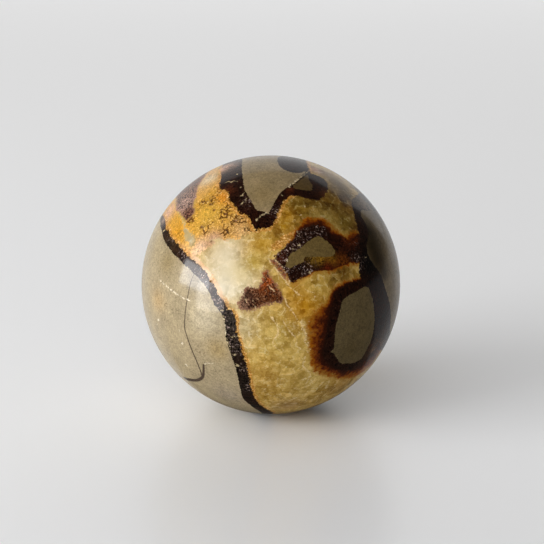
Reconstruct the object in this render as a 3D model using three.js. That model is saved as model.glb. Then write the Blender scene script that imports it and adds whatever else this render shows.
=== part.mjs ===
// A polished ball cut from one septarian nodule: grey-tan limestone cells, dark aragonite bands
// and yellow calcite, ground and polished together to one smooth round surface.
// It stands by itself on a small flat spot ground into its underside.
// Millimetres, +Z up. The origin is the centre of the flat spot, on the surface the ball rests on.
// The face with the large calcite vein looks along -Y.

import * as THREE from "three";

// Driving dimensions
const BALL_DIAMETER = 65;
const FLAT_SPOT_DIAMETER = 12;

// How finely the round surface is faceted
const FACETS_AROUND = 88;
const FACETS_UP = 44;

const ballRadius = BALL_DIAMETER / 2;
const flatRadius = FLAT_SPOT_DIAMETER / 2;

// The flat spot takes a shallow cap off the ball, so the middle of the ball stands this high.
const middleHeight = Math.sqrt(ballRadius ** 2 - flatRadius ** 2);

// Half the section through the ball's upright axis: out across the flat spot, then round to the top.
function ballProfile() {
  const flatEdgeAngle = Math.asin(flatRadius / ballRadius);
  const profile = [new THREE.Vector2(0, 0), new THREE.Vector2(flatRadius, 0)];
  for (let step = 1; step < FACETS_UP; step += 1) {
    const angle = flatEdgeAngle + (step / FACETS_UP) * (Math.PI - flatEdgeAngle);
    profile.push(
      new THREE.Vector2(
        ballRadius * Math.sin(angle),
        middleHeight - ballRadius * Math.cos(angle),
      ),
    );
  }
  profile.push(new THREE.Vector2(0, middleHeight + ballRadius));
  return profile;
}

// The whole stone is one piece, so it is one mesh. A lathe turns about Y, which is then stood up along Z.
function septarianBall() {
  const geometry = new THREE.LatheGeometry(ballProfile(), FACETS_AROUND);
  geometry.rotateX(Math.PI / 2);
  const stone = new THREE.MeshStandardMaterial({
    color: new THREE.Color(0.42, 0.33, 0.17),
    roughness: 0.16,
    metalness: 0,
  });
  const ball = new THREE.Mesh(geometry, stone);
  ball.name = "nodule";
  return ball;
}

const septarianNodule = new THREE.Group();
septarianNodule.add(septarianBall());

export default septarianNodule;
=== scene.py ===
import math

import bpy
import numpy as np
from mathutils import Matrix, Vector


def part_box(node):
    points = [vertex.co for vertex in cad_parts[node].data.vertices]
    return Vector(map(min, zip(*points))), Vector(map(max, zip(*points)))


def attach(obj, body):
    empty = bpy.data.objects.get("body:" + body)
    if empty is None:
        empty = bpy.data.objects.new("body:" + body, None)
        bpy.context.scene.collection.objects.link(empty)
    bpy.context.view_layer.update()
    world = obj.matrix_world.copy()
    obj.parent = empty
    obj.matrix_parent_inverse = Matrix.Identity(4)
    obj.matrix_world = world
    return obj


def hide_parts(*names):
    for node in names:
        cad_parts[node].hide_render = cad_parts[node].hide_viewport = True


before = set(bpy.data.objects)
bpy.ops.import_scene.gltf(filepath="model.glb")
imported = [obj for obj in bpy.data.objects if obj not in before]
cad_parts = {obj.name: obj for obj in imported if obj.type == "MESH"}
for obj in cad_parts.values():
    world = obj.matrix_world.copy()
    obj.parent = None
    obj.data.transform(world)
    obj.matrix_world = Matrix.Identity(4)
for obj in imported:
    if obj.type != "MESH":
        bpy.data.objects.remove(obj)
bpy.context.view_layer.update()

# The view. A long lens stands a little above the surface that the ball rests on and looks straight
# at the face with the big calcite vein. The ball's outline in the photograph sets how far off it is.
# The outline is a circle, and its middle and radius are in pixels.
PHOTO_SIDE = 544
OUTLINE_MIDDLE = (270.9, 284.6)
OUTLINE_RADIUS = 129.4
LENS_MM = 100
SENSOR_MM = 36
LOOKING_DOWN = math.radians(16)

lowest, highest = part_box("nodule")
ball_radius = (highest.x - lowest.x) / 2
ball_middle = Vector((0, 0, highest.z - ball_radius))
slope_of_pixel = SENSOR_MM / LENS_MM / PHOTO_SIDE
camera_distance = ball_radius / math.sin(math.atan(OUTLINE_RADIUS * slope_of_pixel))

to_camera = Vector((0, -math.cos(LOOKING_DOWN), math.sin(LOOKING_DOWN)))
to_right = Vector((1, 0, 0))
to_top = Vector((0, math.sin(LOOKING_DOWN), math.cos(LOOKING_DOWN)))
aside = (PHOTO_SIDE / 2 - OUTLINE_MIDDLE[0]) * slope_of_pixel * camera_distance
above = (OUTLINE_MIDDLE[1] - PHOTO_SIDE / 2) * slope_of_pixel * camera_distance
camera_place = ball_middle + to_camera * camera_distance + to_right * aside + to_top * above

bpy.ops.object.select_all(action="DESELECT")
bpy.ops.object.camera_add(location=camera_place, rotation=(math.pi / 2 - LOOKING_DOWN, 0, 0))
camera = bpy.context.object
camera.data.lens = LENS_MM
camera.data.sensor_width = SENSOR_MM
bpy.context.scene.camera = camera
bpy.context.scene.view_settings.view_transform = "Standard"


# The stone. One septarian nodule: mud that set hard, shrank and split, whose cracks were lined with
# dark aragonite and then filled with yellow calcite. It was ground round and polished in one piece.
MM = 0.001
radius = ball_radius / MM


def photo_spots(pixels):
    """Where pixels of the photograph land on the ball, in millimetres from its middle."""
    pixels = np.array(pixels, float).reshape(-1, 2)
    across = (pixels[:, 0] - PHOTO_SIDE / 2) * slope_of_pixel
    up = (PHOTO_SIDE / 2 - pixels[:, 1]) * slope_of_pixel
    rays = np.outer(across, to_right) + np.outer(up, to_top) - np.array(to_camera)
    start = np.array(camera_place - ball_middle) / MM
    along = rays @ start
    length = (rays ** 2).sum(1)
    root = np.sqrt(np.maximum(along ** 2 - length * (start @ start - radius ** 2), 0))
    spots = start + rays * ((-along - root) / length)[:, None]
    return spots * (radius / np.linalg.norm(spots, axis=1))[:, None]


def turned_spots(degrees):
    """Places given as degrees round to the right of the front, and degrees above the ball's middle."""
    turn, height = np.radians(np.array(degrees, float).reshape(-1, 2)).T
    return radius * np.stack(
        [np.cos(height) * np.sin(turn), -np.cos(height) * np.cos(turn), np.sin(height)], axis=1
    )


def smooth_line(spots, closed=False, step=0.15):
    """A smooth line over the ball through the spots, as points a fraction of a millimetre apart."""
    if closed:
        spots = np.concatenate([spots[-2:], spots, spots[:2]])
    else:
        spots = np.concatenate([2 * spots[:1] - spots[1:2], spots, 2 * spots[-1:] - spots[-2:-1]])
    gaps = np.linalg.norm(np.diff(spots, axis=0), axis=1)
    points = []
    last = len(spots) - (3 if closed else 2)
    for i in range(1, last):
        before, here, after, next_one = spots[i - 1 : i + 3]
        leave = (after - before) / (gaps[i - 1] + gaps[i]) * gaps[i]
        arrive = (next_one - here) / (gaps[i] + gaps[i + 1]) * gaps[i]
        t = np.linspace(0, 1, max(2, math.ceil(gaps[i] / step)), endpoint=False)[:, None]
        points.append(
            (2 * t**3 - 3 * t**2 + 1) * here
            + (t**3 - 2 * t**2 + t) * leave
            + (3 * t**2 - 2 * t**3) * after
            + (t**3 - t**2) * arrive
        )
    if not closed:
        points.append(spots[-2:-1])
    line = np.concatenate(points)
    return line * (radius / np.linalg.norm(line, axis=1))[:, None]


def ring(pixels=(), degrees=()):
    """A closed outline on the ball: pixels of the photograph, and degrees where it can't be seen."""
    line = smooth_line(np.concatenate([photo_spots(pixels), turned_spots(degrees)]), closed=True)
    area = np.cross(line, np.roll(line, -1, axis=0)).sum(0)
    return line if area @ line.mean(0) > 0 else line[::-1]


def distance_to(line, spots, closed=False):
    """How far each spot is from a line, in millimetres. It is below 0 outside a closed line."""
    batch = 20000
    distance = np.empty(len(spots))
    for start in range(0, len(spots), batch):
        some = spots[start : start + batch]
        nearest = (some @ line.T).argmax(1)
        best = np.full(len(some), np.inf)
        side = np.ones(len(some))
        for step in (-1, 0):
            first = nearest + step
            second = first + 1
            if closed:
                first, second = first % len(line), second % len(line)
            else:
                first, second = first.clip(0, len(line) - 2), second.clip(1, len(line) - 1)
            a, b = line[first], line[second]
            run = b - a
            share = (((some - a) * run).sum(1) / (run**2).sum(1)).clip(0, 1)
            away = np.linalg.norm(some - a - run * share[:, None], axis=1)
            nearer = away < best
            best = np.where(nearer, away, best)
            if closed:
                left = (np.cross(a, b) * some).sum(1) > 0
                side = np.where(nearer, np.where(left, 1, -1), side)
        distance[start : start + batch] = best * side
    return distance


# Cells of limestone, the mud of the nodule. Their part that runs on out of sight is in degrees.
CELL_RINGS = {
    "left": ring(
        [(160.5, 219), (161.5, 230), (164, 240), (170.5, 250), (180, 260.5), (190, 270), (200, 280),
         (208, 290), (214, 304), (221, 313), (225, 325), (226.5, 340), (231.5, 356), (236.5, 371),
         (240, 388), (244, 400), (250, 405), (262, 413)],
        [(-22, -73), (-60, -76), (-118, -60), (-140, -42), (-152, -20), (-155, 0), (-147, 18),
         (-128, 30), (-108, 34)],
    ),
    "top": ring(
        [(242, 158), (242.5, 175), (245, 190), (251, 200), (257, 210), (263, 211), (268, 214),
         (270, 211), (274, 203), (280, 193), (289, 186), (299, 178), (306, 171), (299, 173),
         (291, 172), (284, 169.5), (279, 165), (277.5, 158)],
        [(150, 80), (158, 68), (162, 56), (172, 48), (-168, 47), (-152, 55), (-144, 64)],
    ),
    "top sliver": ring(
        [(293, 187), (299, 181), (305, 176), (308, 175), (309, 180), (312, 185), (312, 190), (303, 190)]
    ),
    "lens": ring(
        [(286, 266), (289, 256), (292, 253), (302, 247), (310, 240), (319, 236.5), (328, 242),
         (334, 249), (335, 254), (330, 256.5), (310, 257), (304, 258), (303, 262), (296, 265),
         (290, 268)]
    ),
    "oval": ring(
        [(366, 286.5), (369, 289), (373, 302), (374.5, 316), (372.5, 336), (367, 349), (361, 359),
         (352, 363), (341, 363), (336, 357), (334, 353.5), (330.5, 351.4), (333.5, 349.5), (334.5, 342),
         (335.5, 329), (339, 315), (342, 302), (344, 299), (350, 295), (361, 289)]
    ),
    "right": ring(
        [(368, 211), (362, 210), (361, 215), (365, 222), (368, 230), (368, 238), (367, 246), (368, 254),
         (374, 265), (381, 275), (385, 287), (389, 300), (391, 315), (390, 330)],
        [(84, -23), (100, -24), (115, -15), (124, 2), (125, 18), (116, 28), (100, 33)],
    ),
    "back": ring(
        degrees=[(-172, 32), (170, 33), (152, 28), (144, 10), (148, -10), (162, -21), (-176, -20),
                 (-168, -4), (-165, 16)]
    ),
    "low right": ring(
        degrees=[(75, -38), (95, -40), (115, -42), (128, -52), (118, -66), (90, -70), (66, -63),
                 (62, -50)]
    ),
    "low back": ring(
        degrees=[(165, -38), (-176, -36), (-160, -41), (-152, -54), (-168, -67), (165, -71), (141, -63),
                 (144, -48)]
    ),
    "top left": ring(
        degrees=[(-130, 54), (-136, 63), (-152, 64), (-160, 54), (-150, 46), (-136, 47)]
    ),
}

# Outer edges of the dark aragonite that lines the cracks round the cells.
BAND_RINGS = {
    "left": ring(
        [(163.5, 213), (165.3, 220), (166, 228), (169, 231), (170.5, 236), (174, 240), (181, 248),
         (188, 256), (198, 264), (207, 274), (214.5, 286), (220, 297), (225, 303), (228.5, 309),
         (233, 312), (236.5, 322), (236, 330), (239.5, 341), (243.5, 355), (247, 367), (250.5, 384),
         (254, 396), (262, 406), (273, 412.5)],
        [(2, -75.5), (45, -76), (100, -74), (160, -71), (-158, -62), (-148, -44), (-158, -22),
         (-160, 1), (-152, 22), (-131, 35), (-108, 38)],
    ),
    "top": ring(
        [(222, 166), (221, 176), (220, 189), (225, 190), (229, 195), (229, 200), (233, 204),
         (239, 212), (248, 217), (253, 226), (257, 231), (262, 228.5), (268, 228), (275, 222),
         (278, 213), (283, 203), (290, 196), (301, 197), (312, 199.5), (320, 200), (326, 193),
         (328, 186), (324, 179), (316, 175), (311, 173), (307, 163)],
        [(138, 66), (150, 56), (166, 43), (-170, 42), (-148, 50), (-132, 62), (-116, 66)],
    ),
    "lens": ring(
        [(275, 257), (283, 249), (290, 243), (296, 236), (300, 231), (306, 228), (314, 225.5),
         (324, 227), (332, 235), (340, 237), (350, 243), (354, 240), (359, 238), (364, 250),
         (359, 262), (352, 261), (340, 265), (328, 269.5), (313, 271), (303, 277), (293, 282),
         (288, 275), (281, 265), (277, 260)]
    ),
    "oval": ring(
        [(333, 300), (333, 296), (338, 290), (346, 285), (357, 281), (369, 281), (378, 290),
         (383, 303), (383, 325), (378, 345), (367, 357), (357, 367), (348, 370.5), (340, 370),
         (333, 367), (327, 362), (322, 355), (324, 345), (326.5, 332), (327.5, 324), (331, 308)]
    ),
    "right": ring(
        [(361, 193), (354, 197), (351, 203), (353, 210), (356, 222), (359.5, 238), (360, 247),
         (359, 256), (359, 268), (360, 276), (366, 284), (374, 293), (380, 306), (381, 325),
         (380, 343)],
        [(78, -29), (90, -30), (108, -29), (122, -19), (130, 0), (131, 20), (122, 35), (104, 42)],
    ),
}
# Round the sliver, and round the cells that the photograph doesn't show, the aragonite is this wide.
EVEN_BAND_MM = {"top sliver": 0.3, "back": 2.4, "low right": 2.0, "low back": 2.6, "top left": 3.0}

# Where iron has stained the calcite outside the aragonite amber and red-brown.
GLOW_RINGS = {
    "oval": ring(
        [(331, 290), (328, 298), (325, 304), (317, 310), (310, 316), (307, 330), (309, 346), (310, 360),
         (315, 372), (330, 377), (342, 379), (356, 376), (370, 366), (380, 352), (388, 330), (387, 308),
         (377, 288), (366, 277.5), (352, 279), (340, 284)]
    ),
    "lens": ring(
        [(288, 244), (293, 234), (300, 223), (308, 218), (318, 217.5), (328, 221), (336, 229),
         (344, 235), (353, 231), (360, 234), (365, 250), (361, 264), (352, 264.5), (342, 268),
         (330, 272), (318, 272), (306, 277), (294, 284), (286, 277), (279, 266), (276, 260), (281, 252)]
    ),
}

# A grainy tan skin grew on the aragonite of these cells, and thicker above the lens. It is missing in
# the bare patches: the middle of each, and how far it reaches in millimetres.
SKINNED = ("left", "top", "back", "low right", "low back", "top left")
SKIN_MM = 0.75
BARE_PATCHES = [((322, 184), 5.0), ((310, 200), 3.4), ((160, 219), 2.0)]
SKIN_RING = ring(
    [(270, 247), (275, 242), (281, 237), (289, 233), (296, 228), (300, 232), (294, 239), (288, 244),
     (279, 249), (273, 251)]
)

# Loose bits of the brown lining, adrift in the calcite.
FRAGMENT_RINGS = {
    "bow tie": ring(
        [(263, 272), (268, 270), (272, 279), (279, 287), (283, 296), (284, 300), (281, 303), (270, 304),
         (258, 308.5), (247, 311), (239, 308), (238, 303), (243, 294), (246, 288), (251, 286),
         (257, 287), (261, 282), (262, 277)]
    ),
    "wedge": ring([(270, 259.5), (275, 260), (283, 268), (288, 277), (285, 277.5), (277, 270)]),
    "veiled": ring(
        [(208, 172), (205, 176), (200, 183), (197, 190), (196, 197), (193.5, 205), (195, 211),
         (191, 217), (186, 220.5), (181, 214.5), (176, 208), (176, 200)],
        [(-109, 41), (-120, 46), (-122, 54), (-118, 60)],
    ),
}

# Earthy ochre that filled the crack at the upper left, full of small holes.
OCHRE_RINGS = {
    "main": ring(
        [(213, 167), (218, 170), (220, 187), (229, 196), (234, 206), (243, 215), (251, 223), (253, 229),
         (240, 237), (228, 238), (213, 240), (205, 240), (198, 239), (190, 229), (186, 221), (195, 211),
         (194, 204), (197, 190), (205, 175)],
        [(-116, 60)],
    ),
    "lens": ring(
        [(163.5, 213), (166, 228), (170.5, 236), (181, 248), (188, 256), (193, 254), (187, 243),
         (182.5, 230), (181, 222), (175, 208), (174, 200)],
        [(-100, 38)],
    ),
    "foot": ring(
        [(196, 237), (206, 239), (215, 240), (208, 247), (200, 253), (194, 257), (190, 252), (194, 246)]
    ),
}


def all_distances(spots):
    """How deep each spot lies inside the nearest cell, lining, stain, fragment and ochre."""
    cells = {name: distance_to(line, spots, True) for name, line in CELL_RINGS.items()}
    bands = {name: distance_to(line, spots, True) for name, line in BAND_RINGS.items()}
    for name, width in EVEN_BAND_MM.items():
        bands[name] = cells[name] + width
    skin = np.max([bands[name] + SKIN_MM for name in SKINNED], axis=0)
    for pixel, reach in BARE_PATCHES:
        away = np.linalg.norm(spots - photo_spots(pixel), axis=1)
        skin = skin - 2 * SKIN_MM * np.exp(-((away / reach) ** 4))
    return {
        "cells": cells,
        "limestone": np.max(list(cells.values()), axis=0),
        "aragonite": np.max(list(bands.values()), axis=0),
        "skin": np.maximum(skin, distance_to(SKIN_RING, spots, True)),
        "glow": np.max([distance_to(r, spots, True) for r in GLOW_RINGS.values()], axis=0),
        "fragment": np.max([distance_to(r, spots, True) for r in FRAGMENT_RINGS.values()], axis=0),
        "ochre": np.max([distance_to(r, spots, True) for r in OCHRE_RINGS.values()], axis=0),
    }


# Thin lines, each with its half width in millimetres at the two ends: cracks that healed dark, and
# fractures and scratches that show pale.
DARK_LINES = [
    ([(194, 274), (191, 281), (188, 295), (185.5, 310), (184.7, 328), (186.5, 335), (191, 348),
      (196.5, 361), (200.5, 371), (202, 376)], 0.10, 0.20),
    ([(203.5, 365), (203.5, 372), (202.5, 377), (198, 380), (191, 380), (185, 378.5)], 0.28, 0.62),
    ([(226, 230), (229, 234)], 0.12, 0.12),
]
PALE_LINES = [
    ([(159, 279), (165, 285), (180, 296), (190, 301)], 0.10, 0.13),
    ([(268, 257), (270, 262), (280, 274), (288, 285), (297, 293), (301, 296)], 0.16, 0.10),
    ([(275, 260), (281, 265), (288, 277), (290, 284)], 0.12, 0.08),
    ([(285, 298), (287, 305), (291, 309), (294, 314), (297, 319)], 0.16, 0.12),
    ([(272, 318), (277, 326), (278, 333), (273, 343), (279, 350)], 0.24, 0.14),
    ([(283, 321), (288, 329), (297, 340), (296, 346), (308, 352)], 0.20, 0.12),
    ([(301, 322), (304, 330), (306, 336), (304, 340), (308, 346)], 0.24, 0.16),
    ([(306, 290), (315, 294), (314, 300)], 0.14, 0.10),
    ([(305, 357), (303, 365), (310, 374), (306, 384)], 0.20, 0.14),
    ([(253, 300), (256, 309)], 0.10, 0.08),
    ([(268, 285), (274, 291)], 0.10, 0.08),
    ([(224, 318), (226, 334), (230, 349)], 0.07, 0.05),
    ([(220, 311), (230, 309)], 0.08, 0.06),
    ([(231, 337), (237, 336)], 0.08, 0.06),
    ([(225.5, 182.6), (228, 181.6), (231, 182), (234, 181), (237, 181.4)], 0.20, 0.06),
    ([(240.5, 195.6), (242.5, 195.4), (243.5, 193.4), (245, 192.2)], 0.14, 0.05),
    ([(241.5, 203.6), (243, 202), (244.6, 201.6), (246.5, 198.6)], 0.16, 0.06),
    ([(163, 231.5), (165.5, 229.5), (168.5, 228)], 0.12, 0.16),
    ([(243, 295), (245.5, 298), (246, 302)], 0.08, 0.05),
    ([(256, 221), (261, 216), (265, 213)], 0.14, 0.20),
    ([(289, 187), (300, 178), (309, 171)], 0.20, 0.12),
    ([(206, 363), (217, 364)], 0.06, 0.04),
    ([(297, 231), (300, 238)], 0.08, 0.05),
]
# Pale specks, and the pits in the ochre: the middle of each, and its radius in millimetres.
PALE_SPECKS = [
    ((237, 365.5), 0.50), ((234.5, 355), 0.30), ((223, 316), 0.20), ((158.5, 320), 0.40),
    ((157, 325), 0.32), ((182, 343), 0.38), ((179, 331), 0.28), ((186.3, 365), 0.38),
    ((205.5, 363.5), 0.32), ((247.4, 318), 0.40), ((310, 272.5), 0.26), ((241, 187.5), 0.24),
    ((237, 174), 0.20), ((282, 195), 0.20), ((275, 211), 0.20), ((305, 206), 0.26),
    ((300, 215), 0.20), ((304, 325), 0.34), ((302, 329), 0.22), ((306, 334), 0.24),
    ((305, 340), 0.34), ((308, 343), 0.24), ((309, 321), 0.22), ((310, 349), 0.22),
    ((291, 310), 0.30), ((278, 404), 0.30), ((299, 245), 0.26), ((293, 249), 0.18),
    ((287, 260), 0.18), ((366, 257), 0.20),
]
PIT_SPOTS = [
    ((203, 202), 0.36), ((207, 201), 0.28), ((210, 204), 0.42), ((213, 196), 0.36), ((215, 187), 0.26),
    ((214, 210), 0.42), ((222, 209), 0.28), ((225, 214), 0.40), ((227, 217), 0.30), ((235, 221), 0.44),
    ((238, 220), 0.28), ((242, 223), 0.24), ((222, 222), 0.26), ((213, 222), 0.26), ((193, 221), 0.30),
    ((201, 227), 0.42), ((204, 231), 0.28), ((216, 176), 0.26), ((211, 241), 0.30), ((187, 219), 0.30),
    ((211, 281), 0.30), ((232, 214), 0.26), ((219, 201), 0.24),
]


# No thin line is longer than this, so only the spots this near to its middle are measured.
LINE_NEIGHBOURHOOD_MM = 30


def lines_depth(lines, specks, spots):
    """How deep each spot lies inside the nearest thin line or speck. It is below 0 outside them."""
    depth = np.full(len(spots), -1.0)
    for pixels, start_width, end_width in lines:
        line = smooth_line(photo_spots(pixels), step=0.1)
        near = np.linalg.norm(spots - line.mean(0), axis=1) < LINE_NEIGHBOURHOOD_MM
        along = (spots[near] @ line.T).argmax(1) / (len(line) - 1)
        half = start_width + (end_width - start_width) * along
        depth[near] = np.maximum(depth[near], half - distance_to(line, spots[near]))
    for pixel, half in specks:
        away = np.linalg.norm(spots - photo_spots(pixel), axis=1)
        depth = np.maximum(depth, half - away)
    return depth


def ball_spots(mesh):
    """The mesh's vertices in millimetres from the ball's middle, drawn out to the round surface."""
    flat = np.empty(len(mesh.vertices) * 3)
    mesh.vertices.foreach_get("co", flat)
    spots = flat.reshape(-1, 3) / MM
    return spots * (radius / np.linalg.norm(spots, axis=1))[:, None]


def draw_out_round(ball):
    """Brings every vertex out to the ball's radius, as a hand would with Cast."""
    cast = ball.modifiers.new("round", "CAST")
    cast.cast_type = "SPHERE"
    cast.factor = 1
    cast.size = ball_radius
    bpy.ops.object.modifier_apply(modifier=cast.name)


def select_vertices(mesh, chosen):
    """Selects the chosen vertices and what lies wholly between them. Object mode."""
    bpy.ops.object.mode_set(mode="EDIT")
    bpy.ops.mesh.select_mode(type="VERT")
    bpy.ops.mesh.select_all(action="DESELECT")
    bpy.ops.object.mode_set(mode="OBJECT")
    mesh.vertices.foreach_set("select", chosen)
    bpy.ops.object.mode_set(mode="EDIT")
    bpy.ops.mesh.select_mode(type="FACE", use_extend=False, use_expand=True)


bpy.ops.object.select_all(action="DESELECT")
bpy.ops.mesh.primitive_ico_sphere_add(subdivisions=6, radius=ball_radius)
ball = bpy.context.object
ball.name = "polished_ball"

# The mesh is made finer where a mineral's edge, a thin line or a pit needs it: at each level, as far
# as this to both sides of it.
LINE_REACH_MM = (1.6, 0.6, 0.3, 0.12)
SPOT_REACH_MM = (1.6, 0.6, 0.2)
EDGE_REACH_MM = (
    {"limestone": 1.3, "aragonite": 1.3, "fragment": 1.3, "glow": 1.0, "ochre": 1.0},
    {"limestone": 0.3, "aragonite": 0.25, "fragment": 0.25},
)
for level, line_reach in enumerate(LINE_REACH_MM):
    spots = ball_spots(ball.data)
    chosen = lines_depth(DARK_LINES + PALE_LINES, [], spots) > -line_reach
    if level < len(SPOT_REACH_MM):
        chosen |= lines_depth([], PALE_SPECKS + PIT_SPOTS, spots) > -SPOT_REACH_MM[level]
    if level < len(EDGE_REACH_MM):
        depth = all_distances(spots)
        for name, edge_reach in EDGE_REACH_MM[level].items():
            chosen |= np.abs(depth[name]) < edge_reach
    select_vertices(ball.data, chosen)
    bpy.ops.mesh.subdivide(number_cuts=1)
    bpy.ops.mesh.select_all(action="SELECT")
    bpy.ops.mesh.quads_convert_to_tris()
    bpy.ops.object.mode_set(mode="OBJECT")
    draw_out_round(ball)

# The flat spot that it rests on: an edge is cut in round it, and what lies below is pressed flat.
HAIR_MM = 0.001
bpy.ops.object.mode_set(mode="EDIT")
bpy.ops.mesh.select_all(action="SELECT")
bpy.ops.mesh.bisect(plane_co=-ball_middle, plane_no=(0, 0, 1))
bpy.ops.mesh.mark_sharp()
bpy.ops.object.mode_set(mode="OBJECT")
spots = ball_spots(ball.data)
below = spots[:, 2] < -ball_middle.z / MM + HAIR_MM
select_vertices(ball.data, below)
bpy.ops.transform.resize(value=(1, 1, 0), center_override=-ball_middle)
bpy.ops.mesh.select_all(action="SELECT")
bpy.ops.mesh.quads_convert_to_tris()
bpy.ops.object.mode_set(mode="OBJECT")


def tint(red, green, blue):
    """A colour given as 0 to 255 on screen, as the light that it gives back."""
    screen = np.array([red, green, blue]) / 255
    return np.where(screen <= 0.04045, screen / 12.92, ((screen + 0.055) / 1.055) ** 2.4)


def keep(name, values):
    """Stores a number for each vertex, which the stone's finish reads."""
    ball.data.attributes.new(name, "FLOAT", "POINT").data.foreach_set("value", values)


def keep_colour(name, colours):
    """Stores a colour for each vertex, which the stone's finish reads."""
    with_alpha = np.concatenate([colours, np.ones((len(colours), 1))], axis=1)
    ball.data.attributes.new(name, "FLOAT_COLOR", "POINT").data.foreach_set("color", with_alpha.ravel())


def lay(colours, share, top):
    """Lays a colour over those that are there, by a share from 0 to 1 for each vertex."""
    return colours + share[:, None] * (top - colours)


def ramp(values, low, high):
    """A soft step from 0 at low to 1 at high."""
    t = ((values - low) / (high - low)).clip(0, 1)
    return t * t * (3 - 2 * t)


# The colour of each cell's limestone, as it looks on screen.
CELL_TINTS = {
    "left": tint(163, 147, 116),
    "top": tint(137, 119, 87),
    "top sliver": tint(82, 64, 35),
    "lens": tint(105, 86, 48),
    "oval": tint(96, 82, 54),
    "right": tint(116, 98, 68),
    "back": tint(146, 130, 98),
    "low right": tint(128, 112, 80),
    "low back": tint(160, 142, 108),
    "top left": tint(120, 104, 80),
}
# Soft clouds in each mineral: where, how far they reach in millimetres, and their colour. Some of them
# are painted light or shade, as noted.
LIMESTONE_SHADE_AND_CLOUDS = [
    ((168, 262), 3.4, tint(139, 122, 88)),
    ((158, 300), 3.0, tint(174, 148, 106)),
    ((205, 318), 4.0, tint(186, 172, 144)),
    ((218, 350), 3.0, tint(162, 140, 98)),
    ((228, 395), 4.0, tint(156, 142, 120)),
    # These two are darker only under the softbox's reflection, to dim the highlight there: painted
    # shade.
    ((193, 268), 3.0, tint(150, 136, 112)),
    ((196, 281), 2.6, tint(145, 134, 114)),
    ((262, 195), 4.0, tint(132, 112, 76)),
    # These five darken the right cell where it turns away from the softbox, while its hidden side keeps
    # the paler tint: partly the stone's own dark olive by the lining, partly painted shade.
    ((374, 209), 5.0, tint(66, 48, 22)),
    ((369, 232), 3.6, tint(40, 28, 8)),
    ((373, 246), 4.2, tint(36, 25, 6)),
    ((378, 260), 3.6, tint(38, 26, 8)),
    ((383, 273), 2.4, tint(52, 38, 18)),
    ((350, 350), 3.0, tint(88, 74, 46)),
]
CALCITE_TINT = tint(188, 152, 72)
CALCITE_HIGHLIGHT_AND_CLOUDS = [
    # These four make the calcite pale cream where the softbox's reflection falls: partly the calcite's
    # own colour, partly a painted highlight.
    ((226, 258), 6.5, tint(206, 190, 158)),
    ((236, 282), 5.0, tint(222, 206, 168)),
    ((227, 285), 3.4, tint(211, 199, 172)),
    ((242, 275), 2.6, tint(214, 195, 150)),
    ((337, 183), 4.5, tint(112, 92, 64)),
    ((346, 198), 4.0, tint(64, 46, 16)),
    ((358, 190), 3.0, tint(72, 58, 38)),
    ((322, 172), 3.0, tint(132, 110, 80)),
    ((314, 169), 2.0, tint(168, 124, 98)),
    ((354, 226), 2.4, tint(88, 52, 8)),
    ((349, 209), 2.4, tint(80, 52, 6)),
    ((262, 244), 4.0, tint(172, 129, 39)),
    ((254, 262), 3.0, tint(169, 139, 60)),
    ((246, 328), 4.2, tint(190, 173, 134)),
    ((276, 335), 6.5, tint(186, 154, 76)),
    ((292, 300), 3.0, tint(200, 168, 90)),
    ((300, 207), 5.0, tint(104, 76, 16)),
    ((330, 205), 6.0, tint(88, 56, 2)),
    ((287, 214), 2.5, tint(138, 92, 14)),
    ((284, 226), 3.2, tint(130, 86, 6)),
    ((325, 219), 3.0, tint(140, 116, 54)),
    ((345, 222), 2.5, tint(112, 86, 26)),
    ((306, 304), 5.0, tint(174, 116, 8)),
    ((292, 292), 2.0, tint(170, 120, 30)),
    ((318, 284), 3.5, tint(182, 144, 62)),
    ((342, 273), 3.5, tint(110, 76, 20)),
    ((305, 382), 5.0, tint(200, 168, 92)),
    ((340, 386), 5.0, tint(160, 122, 58)),
    ((262, 380), 5.0, tint(176, 138, 64)),
    ((288, 405), 4.0, tint(150, 118, 68)),
    ((186, 228), 2.4, tint(162, 146, 110)),
    ((191, 240), 2.2, tint(166, 150, 116)),
]
OCHRE_TINT = tint(196, 144, 54)
OCHRE_CLOUDS = [
    ((209, 179), 3.0, tint(194, 171, 134)),
    ((208, 214), 4.0, tint(194, 150, 58)),
    ((226, 196), 2.4, tint(200, 126, 34)),
    ((240, 222), 2.6, tint(186, 142, 76)),
    ((201, 247), 2.2, tint(214, 176, 142)),
    ((214, 240), 2.6, tint(179, 140, 110)),
    ((242, 233), 2.6, tint(204, 156, 96)),
    ((168, 213), 3.0, tint(199, 152, 116)),
    ((177, 234), 2.4, tint(198, 140, 42)),
    ((186, 248), 2.0, tint(212, 164, 98)),
    ((196, 254), 2.0, tint(222, 184, 146)),
]
ARAGONITE_TINT = tint(31, 11, 4)
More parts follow.
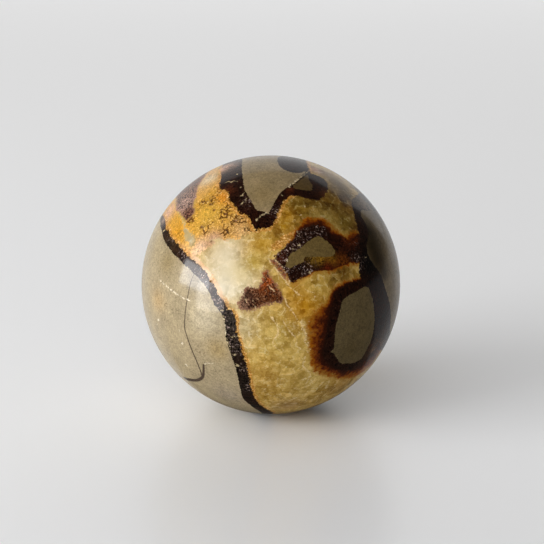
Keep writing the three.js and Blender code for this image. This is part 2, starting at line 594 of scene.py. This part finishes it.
ARAGONITE_REFLECTION_AND_CLOUDS = [
    ((172, 240), 5.0, tint(46, 33, 20)),
    # This one is paler where the rim's reflection lies on the lining: partly its own colour, partly a
    # painted reflection.
    ((164, 219), 1.8, tint(112, 92, 78)),
    ((230, 322), 4.0, tint(54, 48, 42)),
    ((236, 346), 4.0, tint(34, 28, 22)),
    ((245, 380), 8.0, tint(28, 20, 14)),
    ((330, 345), 6.0, tint(34, 14, 6)),
    ((346, 251), 3.2, tint(42, 15, 6)),
    ((350, 237), 1.8, tint(120, 50, 6)),
    ((279, 256), 1.8, tint(64, 26, 12)),
    ((312, 259), 1.2, tint(112, 82, 26)),
    ((321, 259), 1.4, tint(122, 88, 22)),
    ((331, 259), 1.4, tint(118, 80, 16)),
    ((343, 262), 1.8, tint(104, 52, 8)),
    ((328, 268), 1.6, tint(80, 26, 6)),
    ((290, 190), 1.4, tint(60, 24, 8)),
    ((325, 194), 1.8, tint(60, 28, 8)),
    ((355, 202), 1.6, tint(72, 58, 42)),
    # This one is paler where the rim's reflection lies on the lining: partly its own colour, partly a
    # painted reflection.
    ((223, 168), 3.0, tint(172, 130, 102)),
    ((228, 190), 1.4, tint(70, 30, 10)),
    ((370, 262), 5.0, tint(8, 5, 3)),
    ((364, 203), 3.4, tint(96, 76, 54)),
    ((375, 352), 4.0, tint(84, 52, 22)),
]
FRAGMENT_TINT = tint(92, 50, 24)
FRAGMENT_REFLECTION_AND_CLOUDS = [
    # This one makes the fragment at the rim pale mauve: partly its own colour, partly a painted
    # reflection.
    ((186, 203), 5.0, tint(154, 122, 106)),
    ((188, 216), 2.6, tint(84, 48, 42)),
    ((248, 297), 2.2, tint(66, 42, 30)),
    ((243, 306), 1.6, tint(124, 92, 74)),
    ((267, 278), 2.6, tint(140, 60, 8)),
    ((279, 269), 3.0, tint(128, 62, 24)),
]
# Where the ochre is eaten into holes, where the aragonite shows pale needle crystals, which along the
# softbox's reflection stand in for its glints as a painted highlight, where the limestone is dotted
# with dark grains, and where the calcite is a cloudy white and even, mostly under the softbox's
# reflection, where that paleness is partly a painted highlight: the middle of each patch and how far
# it reaches.
WORM_PATCHES = [
    ((232, 205), 3.0), ((240, 218), 3.2), ((224, 214), 2.4), ((212, 200), 2.0), ((222, 190), 2.2),
    ((206, 228), 2.0), ((226, 230), 2.2), ((191, 220), 1.6), ((248, 230), 2.0), ((203, 202), 1.6),
]
NEEDLE_AND_GLINT_PATCHES = [
    ((290, 250), 3.4), ((300, 234), 3.0), ((286, 268), 2.6), ((305, 270), 2.2), ((318, 228), 1.8),
    ((205, 278), 4.2), ((222, 304), 3.2), ((230, 330), 1.4), ((226, 316), 1.4), ((352, 236), 1.6),
    ((358, 262), 1.8), ((250, 200), 1.8), ((276, 212), 1.4), ((237, 346), 2.2), ((244, 368), 1.2),
    ((250, 388), 1.6), ((172, 238), 1.8), ((184, 254), 1.6),
]
DOTTED_PATCHES = [((200, 350), 1.8), ((166, 304), 1.6), ((190, 345), 1.4), ((205, 362), 1.4)]
# Most of these lie under the softbox's reflection, where their paleness is a painted highlight.
CLOUDY_WHITE_AND_SHEEN_PATCHES = [
    ((222, 256), 4.5), ((230, 272), 5.0), ((222, 286), 3.5), ((190, 235), 2.5), ((335, 180), 5.0),
    ((197, 260), 2.4), ((206, 272), 2.4),
]

spots = ball_spots(ball.data)
depth = all_distances(spots)
for name in ("limestone", "aragonite", "skin", "glow", "fragment", "ochre"):
    keep(name, depth[name])
keep("dark_line", lines_depth(DARK_LINES, [], spots))
keep("pale_line", lines_depth(PALE_LINES, PALE_SPECKS, spots))
pits = lines_depth([], PIT_SPOTS, spots)
keep("pit", pits)

for name, patches in (
    ("worms", WORM_PATCHES),
    ("needle_and_glint_share", NEEDLE_AND_GLINT_PATCHES),
    ("dotted", DOTTED_PATCHES),
    ("cloudy_white_and_sheen", CLOUDY_WHITE_AND_SHEEN_PATCHES),
):
    away = [np.linalg.norm(spots - photo_spots(pixel), axis=1) / reach for pixel, reach in patches]
    keep(name, np.exp(-(np.min(away, axis=0) ** 2)))

names = list(depth["cells"])
nearest_cell = np.argmax([depth["cells"][name] for name in names], axis=0)
cell_tints = np.array([CELL_TINTS[name] for name in names])[nearest_cell]
for name, base, soft_clouds in (
    ("limestone_shade_and_tint", cell_tints, LIMESTONE_SHADE_AND_CLOUDS),
    ("calcite_highlight_and_tint", CALCITE_TINT, CALCITE_HIGHLIGHT_AND_CLOUDS),
    ("ochre_tint", OCHRE_TINT, OCHRE_CLOUDS),
    ("fragment_reflection_and_tint", FRAGMENT_TINT, FRAGMENT_REFLECTION_AND_CLOUDS),
    ("aragonite_reflection_and_tint", ARAGONITE_TINT, ARAGONITE_REFLECTION_AND_CLOUDS),
):
    colours = np.broadcast_to(base, (len(spots), 3))
    for pixel, reach, cloud_tint in soft_clouds:
        away = np.linalg.norm(spots - photo_spots(pixel), axis=1)
        colours = lay(colours, np.exp(-((away / reach) ** 2)), cloud_tint)
    keep_colour(name, colours)

# The pits are sunk into the surface, with sides that slope over this far in from the edge.
PIT_DEPTH_MM = 0.22
PIT_SLOPE_MM = 0.3
sunk = ball.vertex_groups.new(name="pits")
for index in np.nonzero(pits > 0)[0]:
    sunk.add([int(index)], float(ramp(pits[index], 0, PIT_SLOPE_MM)), "REPLACE")
sink = ball.modifiers.new("sink", "DISPLACE")
sink.vertex_group = sunk.name
sink.mid_level = 0
sink.strength = -PIT_DEPTH_MM * MM
bpy.ops.object.modifier_apply(modifier=sink.name)
ball.vertex_groups.clear()

# The ball is set down on its flat spot.
bpy.ops.object.mode_set(mode="EDIT")
bpy.ops.mesh.select_all(action="SELECT")
bpy.ops.transform.translate(value=ball_middle)
bpy.ops.object.mode_set(mode="OBJECT")
bpy.ops.object.shade_smooth()


class Wire:
    """One output of a node. Arithmetic on wires and numbers adds Math nodes to their material."""

    def __init__(self, socket):
        self.socket = socket

    def node(self, kind, settings, sockets, output=0):
        """Adds any node to the same material, and gives one of its outputs."""
        tree = self.socket.id_data
        made = tree.nodes.new(kind)
        for name, value in settings.items():
            setattr(made, name, value)
        for name, value in sockets.items():
            if isinstance(value, Wire):
                tree.links.new(value.socket, made.inputs[name])
            else:
                made.inputs[name].default_value = value
        return Wire(made.outputs[output])

    def maths(self, operation, *values):
        """Adds one Math node for the values."""
        return self.node("ShaderNodeMath", {"operation": operation}, dict(enumerate(values)))

    def __add__(self, other):
        return self.maths("ADD", self, other)

    def __sub__(self, other):
        return self.maths("SUBTRACT", self, other)

    def __rsub__(self, other):
        return self.maths("SUBTRACT", other, self)

    def __mul__(self, other):
        return self.maths("MULTIPLY", self, other)

    def __truediv__(self, other):
        return self.maths("DIVIDE", self, other)

    __radd__ = __add__
    __rmul__ = __mul__

    def step(self, low, high):
        """A soft step from 0 at low to 1 at high."""
        limits = {"Value": self, "From Min": low, "From Max": high}
        return self.node("ShaderNodeMapRange", {"interpolation_type": "SMOOTHSTEP"}, limits)

    def near_zero(self, width):
        """1 where the wire is about 0, falling to 0 at the width above and below."""
        return 1 - self.maths("ABSOLUTE", self).step(0, width)

    def over(self, under, top):
        """This wire's share of the top colour laid over the one under it."""
        settings = {"data_type": "RGBA"}
        return self.node("ShaderNodeMix", settings, {0: self, 6: under, 7: top}, output=2)

    def noise(self, size, detail=2.0, rough=0.5, warp=0.0):
        """Cloudy noise about 0, mostly from -1 to 1, with blobs of a size in millimetres."""
        sockets = {"Vector": self, "Scale": 1 / size, "Detail": detail, "Roughness": rough}
        sockets["Distortion"] = warp
        return self.node("ShaderNodeTexNoise", {}, sockets) * 5 - 2.5


def colour(values):
    """A tint as a colour socket takes it."""
    return (*[float(v) for v in values], 1.0)


finish = bpy.data.materials.new("septarian_stone")
finish.use_nodes = True
surface = finish.node_tree.nodes["Principled BSDF"]
coordinates = Wire(finish.node_tree.nodes.new("ShaderNodeTexCoord").outputs["Object"])
to_millimetres = {0: coordinates, 1: (1 / MM, 1 / MM, 1 / MM)}
place = coordinates.node("ShaderNodeVectorMath", {"operation": "MULTIPLY"}, to_millimetres)


def stored(name):
    """A number that the mesh keeps for each vertex."""
    return place.node("ShaderNodeAttribute", {"attribute_name": name}, {}, output="Fac")


def stored_colour(name):
    """A colour that the mesh keeps for each vertex."""
    return place.node("ShaderNodeAttribute", {"attribute_name": name}, {}, output="Color")


def shaded(colours, amount):
    """Colours made lighter and darker by an amount about 0."""
    hue = {"Hue": 0.5, "Saturation": 1.0, "Value": 1 + amount, "Color": colours}
    return place.node("ShaderNodeHueSaturation", {}, hue)


def stretched(x, y, z):
    """The place with each direction shortened or lengthened, so that blobs of noise are drawn out."""
    return place.node("ShaderNodeVectorMath", {"operation": "MULTIPLY"}, {0: place, 1: (x, y, z)})


# Noise that all the minerals share, from the finest to the broadest.
grain = place.noise(0.36, 2, 0.6)
fine = place.noise(0.8, 3, 0.6)
lumps = place.noise(1.8, 3, 0.6, 0.5)
clouds = place.noise(5.0, 3, 0.5, 0.6)
upright = stretched(1, 1, 0.2).noise(0.55, 3, 0.6, 0.3)

# Calcite: crystals of many sizes, cloudy inside, with pale and dark edges. Its tint carries a painted
# highlight where the softbox's reflection falls.
wander = place.node("ShaderNodeTexNoise", {}, {"Vector": place, "Scale": 0.9, "Detail": 3.0}, output=1)
warped = place.node("ShaderNodeVectorMath", {"operation": "ADD"}, {0: place, 1: wander})


def crystals(size, feature, output):
    """Irregular crystals of a size in millimetres."""
    sockets = {"Vector": warped, "Scale": 1 / size, "Randomness": 1.0}
    return place.node("ShaderNodeTexVoronoi", {"feature": feature}, sockets, output)


def toned(power):
    """The calcite's tint, deeper for a power above 1 as in a thick crystal, paler for one below it."""
    return place.node("ShaderNodeGamma", {}, {"Color": stored_colour("calcite_highlight_and_tint"), "Gamma": power})


facets = crystals(2.4, "F1", "Color") - 0.5
small_facets = crystals(1.0, "F1", "Color") - 0.5
cloudy_white_and_sheen = stored("cloudy_white_and_sheen")
clear = 1 - cloudy_white_and_sheen * 0.85
mottle = clouds * 0.14 + lumps * 0.18 + fine * 0.08 + grain * 0.10 + upright * 0.08
mottle = (mottle + facets * 0.75 + small_facets * 0.55) * clear
calcite = shaded(toned(1 - mottle * 0.45), mottle * 0.55)
golden = (facets * 1.6 + clouds * 0.5).step(0.1, 0.8) * clear
calcite = (golden * 0.14).over(calcite, shaded(colour(tint(176, 122, 32)), grain * 0.2 + lumps * 0.2))
veins = crystals(2.4, "DISTANCE_TO_EDGE", "Distance").step(0.09, 0.02)
veins = veins * (lumps + fine * 0.6).step(-0.1, 0.8)
calcite = (veins * clear * 0.7).over(calcite, toned(0.5))
pale_patches = place.noise(2.6, 4, 0.7, 1.2).step(0.1, 1.2)
calcite = (pale_patches * clear * 0.5).over(calcite, toned(0.7 - grain * 0.1))
pale_edges = place.noise(2.6, 3, 0.6, 1.6).near_zero(0.10) * (lumps + fine * 0.6).step(-0.3, 0.8)
calcite = (pale_edges * clear * 0.7).over(calcite, toned(0.45))
dark_edges = place.noise(2.2, 3, 0.6, 1.2).near_zero(0.12) * (clouds + fine * 0.6).step(-0.2, 0.7)
calcite = (dark_edges * clear * 0.5).over(calcite, toned(1.6))
white_grains = (grain + fine * 0.6).step(1.35, 1.8)
calcite = (white_grains * clear * 0.6).over(calcite, colour(tint(244, 230, 196)))

# Ochre: earthy grains, pale and brown, eaten into winding holes.
worms = stored("worms")
ochre_colour = shaded(stored_colour("ochre_tint"), fine * 0.24 + grain * 0.36 + lumps * 0.14)
pale_grains = (grain - lumps * 0.4 + fine * 0.2).step(0.3, 1.0) * (worms * 0.9 + 0.15)
ochre_colour = pale_grains.over(ochre_colour, colour(tint(236, 208, 142)))
winding = crystals(1.3, "DISTANCE_TO_EDGE", "Distance").step(0.20, 0.07)
winding = winding * (fine + lumps * 0.5 + worms * 2.4).step(1.1, 2.1)
ochre_colour = (winding * 0.95).over(ochre_colour, colour(tint(88, 50, 16)))
ochre_here = (stored("ochre") + lumps * 0.6 + grain * 0.3 + fine * 0.35).step(-0.6, 0.3)
body = ochre_here.over(calcite, ochre_colour)

# The tan skin outside the aragonite: pale grains with brown between them.
aragonite = stored("aragonite")
glow = stored("glow")
skin = (stored("skin") + cloudy_white_and_sheen * 0.4 + fine * 0.24 + grain * 0.24 + lumps * 0.16).step(-0.15, 0.2)
skin_grains = place.noise(0.5, 2, 0.6, 0.4)
skin_colour = shaded(colour(tint(188, 130, 52)), fine * 0.35 + lumps * 0.2)
skin_colour = skin_grains.step(0.1, 0.9).over(skin_colour, colour(tint(240, 200, 130)))
skin_colour = (skin_grains.step(0.1, -0.9) * 0.8).over(skin_colour, colour(tint(120, 72, 20)))
# Where the calcite is a cloudy white and under the softbox's reflection, the skin is laid pale: partly
# real, partly a painted highlight.
skin_colour = (cloudy_white_and_sheen * 0.75).over(skin_colour, colour(tint(238, 204, 172)))
body = (skin * 0.9).over(body, skin_colour)

# Amber stain, deeper towards the aragonite and patchy.
inside = glow.maths("MAXIMUM", glow, 0)
outside = (0 - aragonite).maths("MAXIMUM", 0 - aragonite, 0)
stain = inside / (inside + outside + 0.1) + lumps * 0.20 + fine * 0.22 + grain * 0.14
stained = (glow + fine * 0.45 + lumps * 0.45 + grain * 0.2).step(-0.6, 0.6)
amber = shaded(colour(tint(150, 84, 4)), grain * 0.3 + lumps * 0.25)
body = (stained * (lumps * 0.2 + 0.95)).over(body, amber)
body = (stain.step(0.1, 0.5) * stained).over(body, shaded(colour(tint(112, 48, 4)), grain * 0.4))
body = (stain.step(0.35, 0.8) * stained).over(body, shaded(colour(tint(50, 17, 4)), grain * 0.5))

# Loose bits of lining: brown, paler at the rim under a painted reflection, with dark and with pale
# grains.
fragment_colour = shaded(stored_colour("fragment_reflection_and_tint"), fine * 0.6 + grain * 0.8 + lumps * 0.3)
dark_grains = place.noise(0.6, 2, 0.6, 0.6).step(-0.1, 0.5)
fragment_colour = (dark_grains * 0.85).over(fragment_colour, colour(tint(30, 10, 6)))
pale_threads = place.noise(0.9, 2, 0.5, 1.0).near_zero(0.24) * (grain - lumps * 0.3).step(-0.2, 0.5)
fragment_colour = (pale_threads * 0.7).over(fragment_colour, colour(tint(190, 142, 104)))
fragment = stored("fragment")
fringe = (fragment + fine * 0.3).step(0.8, 0.0)
fragment_colour = (fringe * 0.45).over(fragment_colour, colour(tint(168, 124, 100)))
fragment_here = (fragment + fine * 0.4 + grain * 0.35 + lumps * 0.3).step(-0.3, 0.3)
body = fragment_here.over(body, fragment_colour)

# Aragonite: dark, with lighter grains and, in places, pale needle crystals that partly stand in for
# glints.
needle_and_glint_share = stored("needle_and_glint_share")
band_colour = shaded(stored_colour("aragonite_reflection_and_tint"), fine * 0.5 + grain * 0.7 + lumps * 0.4)
light_and_glint_grains = (grain + fine * 0.4 + needle_and_glint_share * 0.5).step(0.6, 1.5)
band_colour = (light_and_glint_grains * (needle_and_glint_share * 0.45 + 0.16)).over(band_colour, colour(tint(112, 92, 78)))
# Along the softbox's reflection these pale needle crystals and the extra light grains are a painted
# highlight.
needle_and_glint_specks = stretched(0.6, 1.0, 0.5).noise(0.32, 2, 0.6, 0.4).step(0.35, 0.9) * needle_and_glint_share
band_colour = (needle_and_glint_specks * 0.85).over(band_colour, colour(tint(188, 162, 152)))
band_here = (aragonite + fine * 0.32 + grain * 0.28 + lumps * 0.12).step(-0.10, 0.10)
body = band_here.over(body, band_colour)

# Limestone: fine and even, with soft clouds, some of which are painted shade, pale specks and, in
# places, dark grains.
limestone_colour = shaded(
    stored_colour("limestone_shade_and_tint"), clouds * 0.12 + lumps * 0.08 + fine * 0.15 + grain * 0.24
)
specks = (place.noise(0.5, 1, 0.5) + lumps * 0.3).step(0.95, 1.4)
limestone_colour = (specks * 0.45).over(limestone_colour, shaded(stored_colour("limestone_shade_and_tint"), 0.7))
dark_specks = place.noise(0.5, 1, 0.5).step(0.3, 0.9) * stored("dotted")
limestone_colour = (dark_specks * 0.6).over(limestone_colour, colour(tint(96, 76, 52)))
limestone_here = (stored("limestone") + fine * 0.11 + grain * 0.10).step(-0.08, 0.08)
body = limestone_here.over(body, limestone_colour)

# The thin lines, specks and pits.
body = (stored("dark_line").step(-0.12, 0.12) * 0.92).over(body, colour(tint(62, 46, 40)))
pale_line = (stored("pale_line") + grain * 0.18 + fine * 0.18).step(-0.10, 0.26)
pale = limestone_here.over(colour(tint(220, 196, 148)), colour(tint(244, 232, 208)))
body = (pale_line * 0.7).over(body, shaded(pale, fine * 0.25 + grain * 0.25))
body = ((stored("pit") + grain * 0.16).step(-0.1, 0.2) * 0.8).over(body, colour(tint(96, 52, 18)))

# The polish: a smooth coat over fine grain, a little rougher on the aragonite.
tree = finish.node_tree
tree.links.new(body.socket, surface.inputs["Base Color"])
height = grain * (band_here * 1.5 + 0.5) + fine
bump = place.node("ShaderNodeBump", {}, {"Height": height, "Strength": 0.12, "Distance": 0.0001})
tree.links.new(bump.socket, surface.inputs["Normal"])
surface.inputs["Roughness"].default_value = 0.3
surface.inputs["IOR"].default_value = 1.45
surface.inputs["Specular IOR Level"].default_value = 0.03
surface.inputs["Coat Weight"].default_value = 0.4
surface.inputs["Coat Roughness"].default_value = 0.12
surface.inputs["Coat IOR"].default_value = 1.5

ball.data.materials.append(finish)
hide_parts("nodule")
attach(ball, "root")


# The floor: a plain pale surface, much larger than the view. It is in two halves, which meet under
# the ball, because only the half behind may show in the ball's polish.
FLOOR_SIDE = 8
floor_finish = bpy.data.materials.new("pale_floor")
floor_finish.use_nodes = True
floor_surface = floor_finish.node_tree.nodes["Principled BSDF"]
floor_surface.inputs["Base Color"].default_value = colour(tint(243, 244, 246))
floor_surface.inputs["Roughness"].default_value = 0.3
for name, side in (("floor_behind", 1), ("floor_in_front", -1)):
    bpy.ops.object.select_all(action="DESELECT")
    bpy.ops.mesh.primitive_plane_add(size=FLOOR_SIDE, location=(0, side * FLOOR_SIDE / 2, lowest.z))
    floor = bpy.context.object
    floor.name = name
    floor.data.materials.append(floor_finish)
    floor.visible_glossy = side > 0


# The light. A softbox at the left, a pale wall behind, a faint fill in front and the wide soft light of
# the room light the scene. What shows in the ball's polish is made by lights of their own, which light
# nothing, because the real polish shows them dimmer and softer.
def area_light(name, towards, distance, width, height, radiance, in_polish):
    """A flat soft light, aimed at the ball. It either lights the scene or shows in the polish."""
    stand = ball_middle + Vector(towards).normalized() * distance
    bpy.ops.object.light_add(type="AREA", location=stand)
    light = bpy.context.object
    light.name = name
    light.data.shape = "RECTANGLE"
    light.data.size = width
    light.data.size_y = height
    light.data.energy = radiance * math.pi * width * height
    light.rotation_mode = "QUATERNION"
    light.rotation_quaternion = (stand - ball_middle).to_track_quat("Z", "Y")
    light.visible_camera = False
    light.visible_diffuse = not in_polish
    light.visible_glossy = in_polish


# Each light: the way to it from the ball, how far off it stands, its width and height in metres, and
# how bright its face is.
area_light("softbox", (-0.90, -0.40, 0.32), 0.9, 0.62, 0.36, 8.2, in_polish=False)
area_light("back_wall", (0.06, 1, 0.42), 1.8, 3.5, 1.4, 1.0, in_polish=False)
area_light("front_fill", (-0.4, -1, 0.7), 1.3, 1.5, 0.9, 0.8, in_polish=False)
area_light("softbox_shine", (-0.93, -0.33, 0.20), 0.9, 0.50, 0.26, 17, in_polish=True)
area_light("softbox_glow", (-0.80, -0.60, 0.02), 0.9, 0.40, 0.36, 11, in_polish=True)
area_light("wall_shine", (0, 1, 0.42), 3.2, 5.6, 2.6, 0.9, in_polish=True)

# The wide soft light of the room comes from above the camera's left, and a little from all round.
bpy.ops.object.light_add(type="SUN", location=(0, 0, 2))
overhead = bpy.context.object
overhead.name = "overhead"
overhead.data.angle = math.radians(100)
overhead.data.energy = 1.2
overhead.rotation_mode = "QUATERNION"
overhead.rotation_quaternion = Vector((-0.5, -0.6, 0.66)).to_track_quat("Z", "Y")
overhead.visible_glossy = False

world = bpy.data.worlds.new("room")
bpy.context.scene.world = world
world.use_nodes = True
world.node_tree.nodes["Background"].inputs["Color"].default_value = (1, 0.92, 0.8, 1)
world.node_tree.nodes["Background"].inputs["Strength"].default_value = 0.07
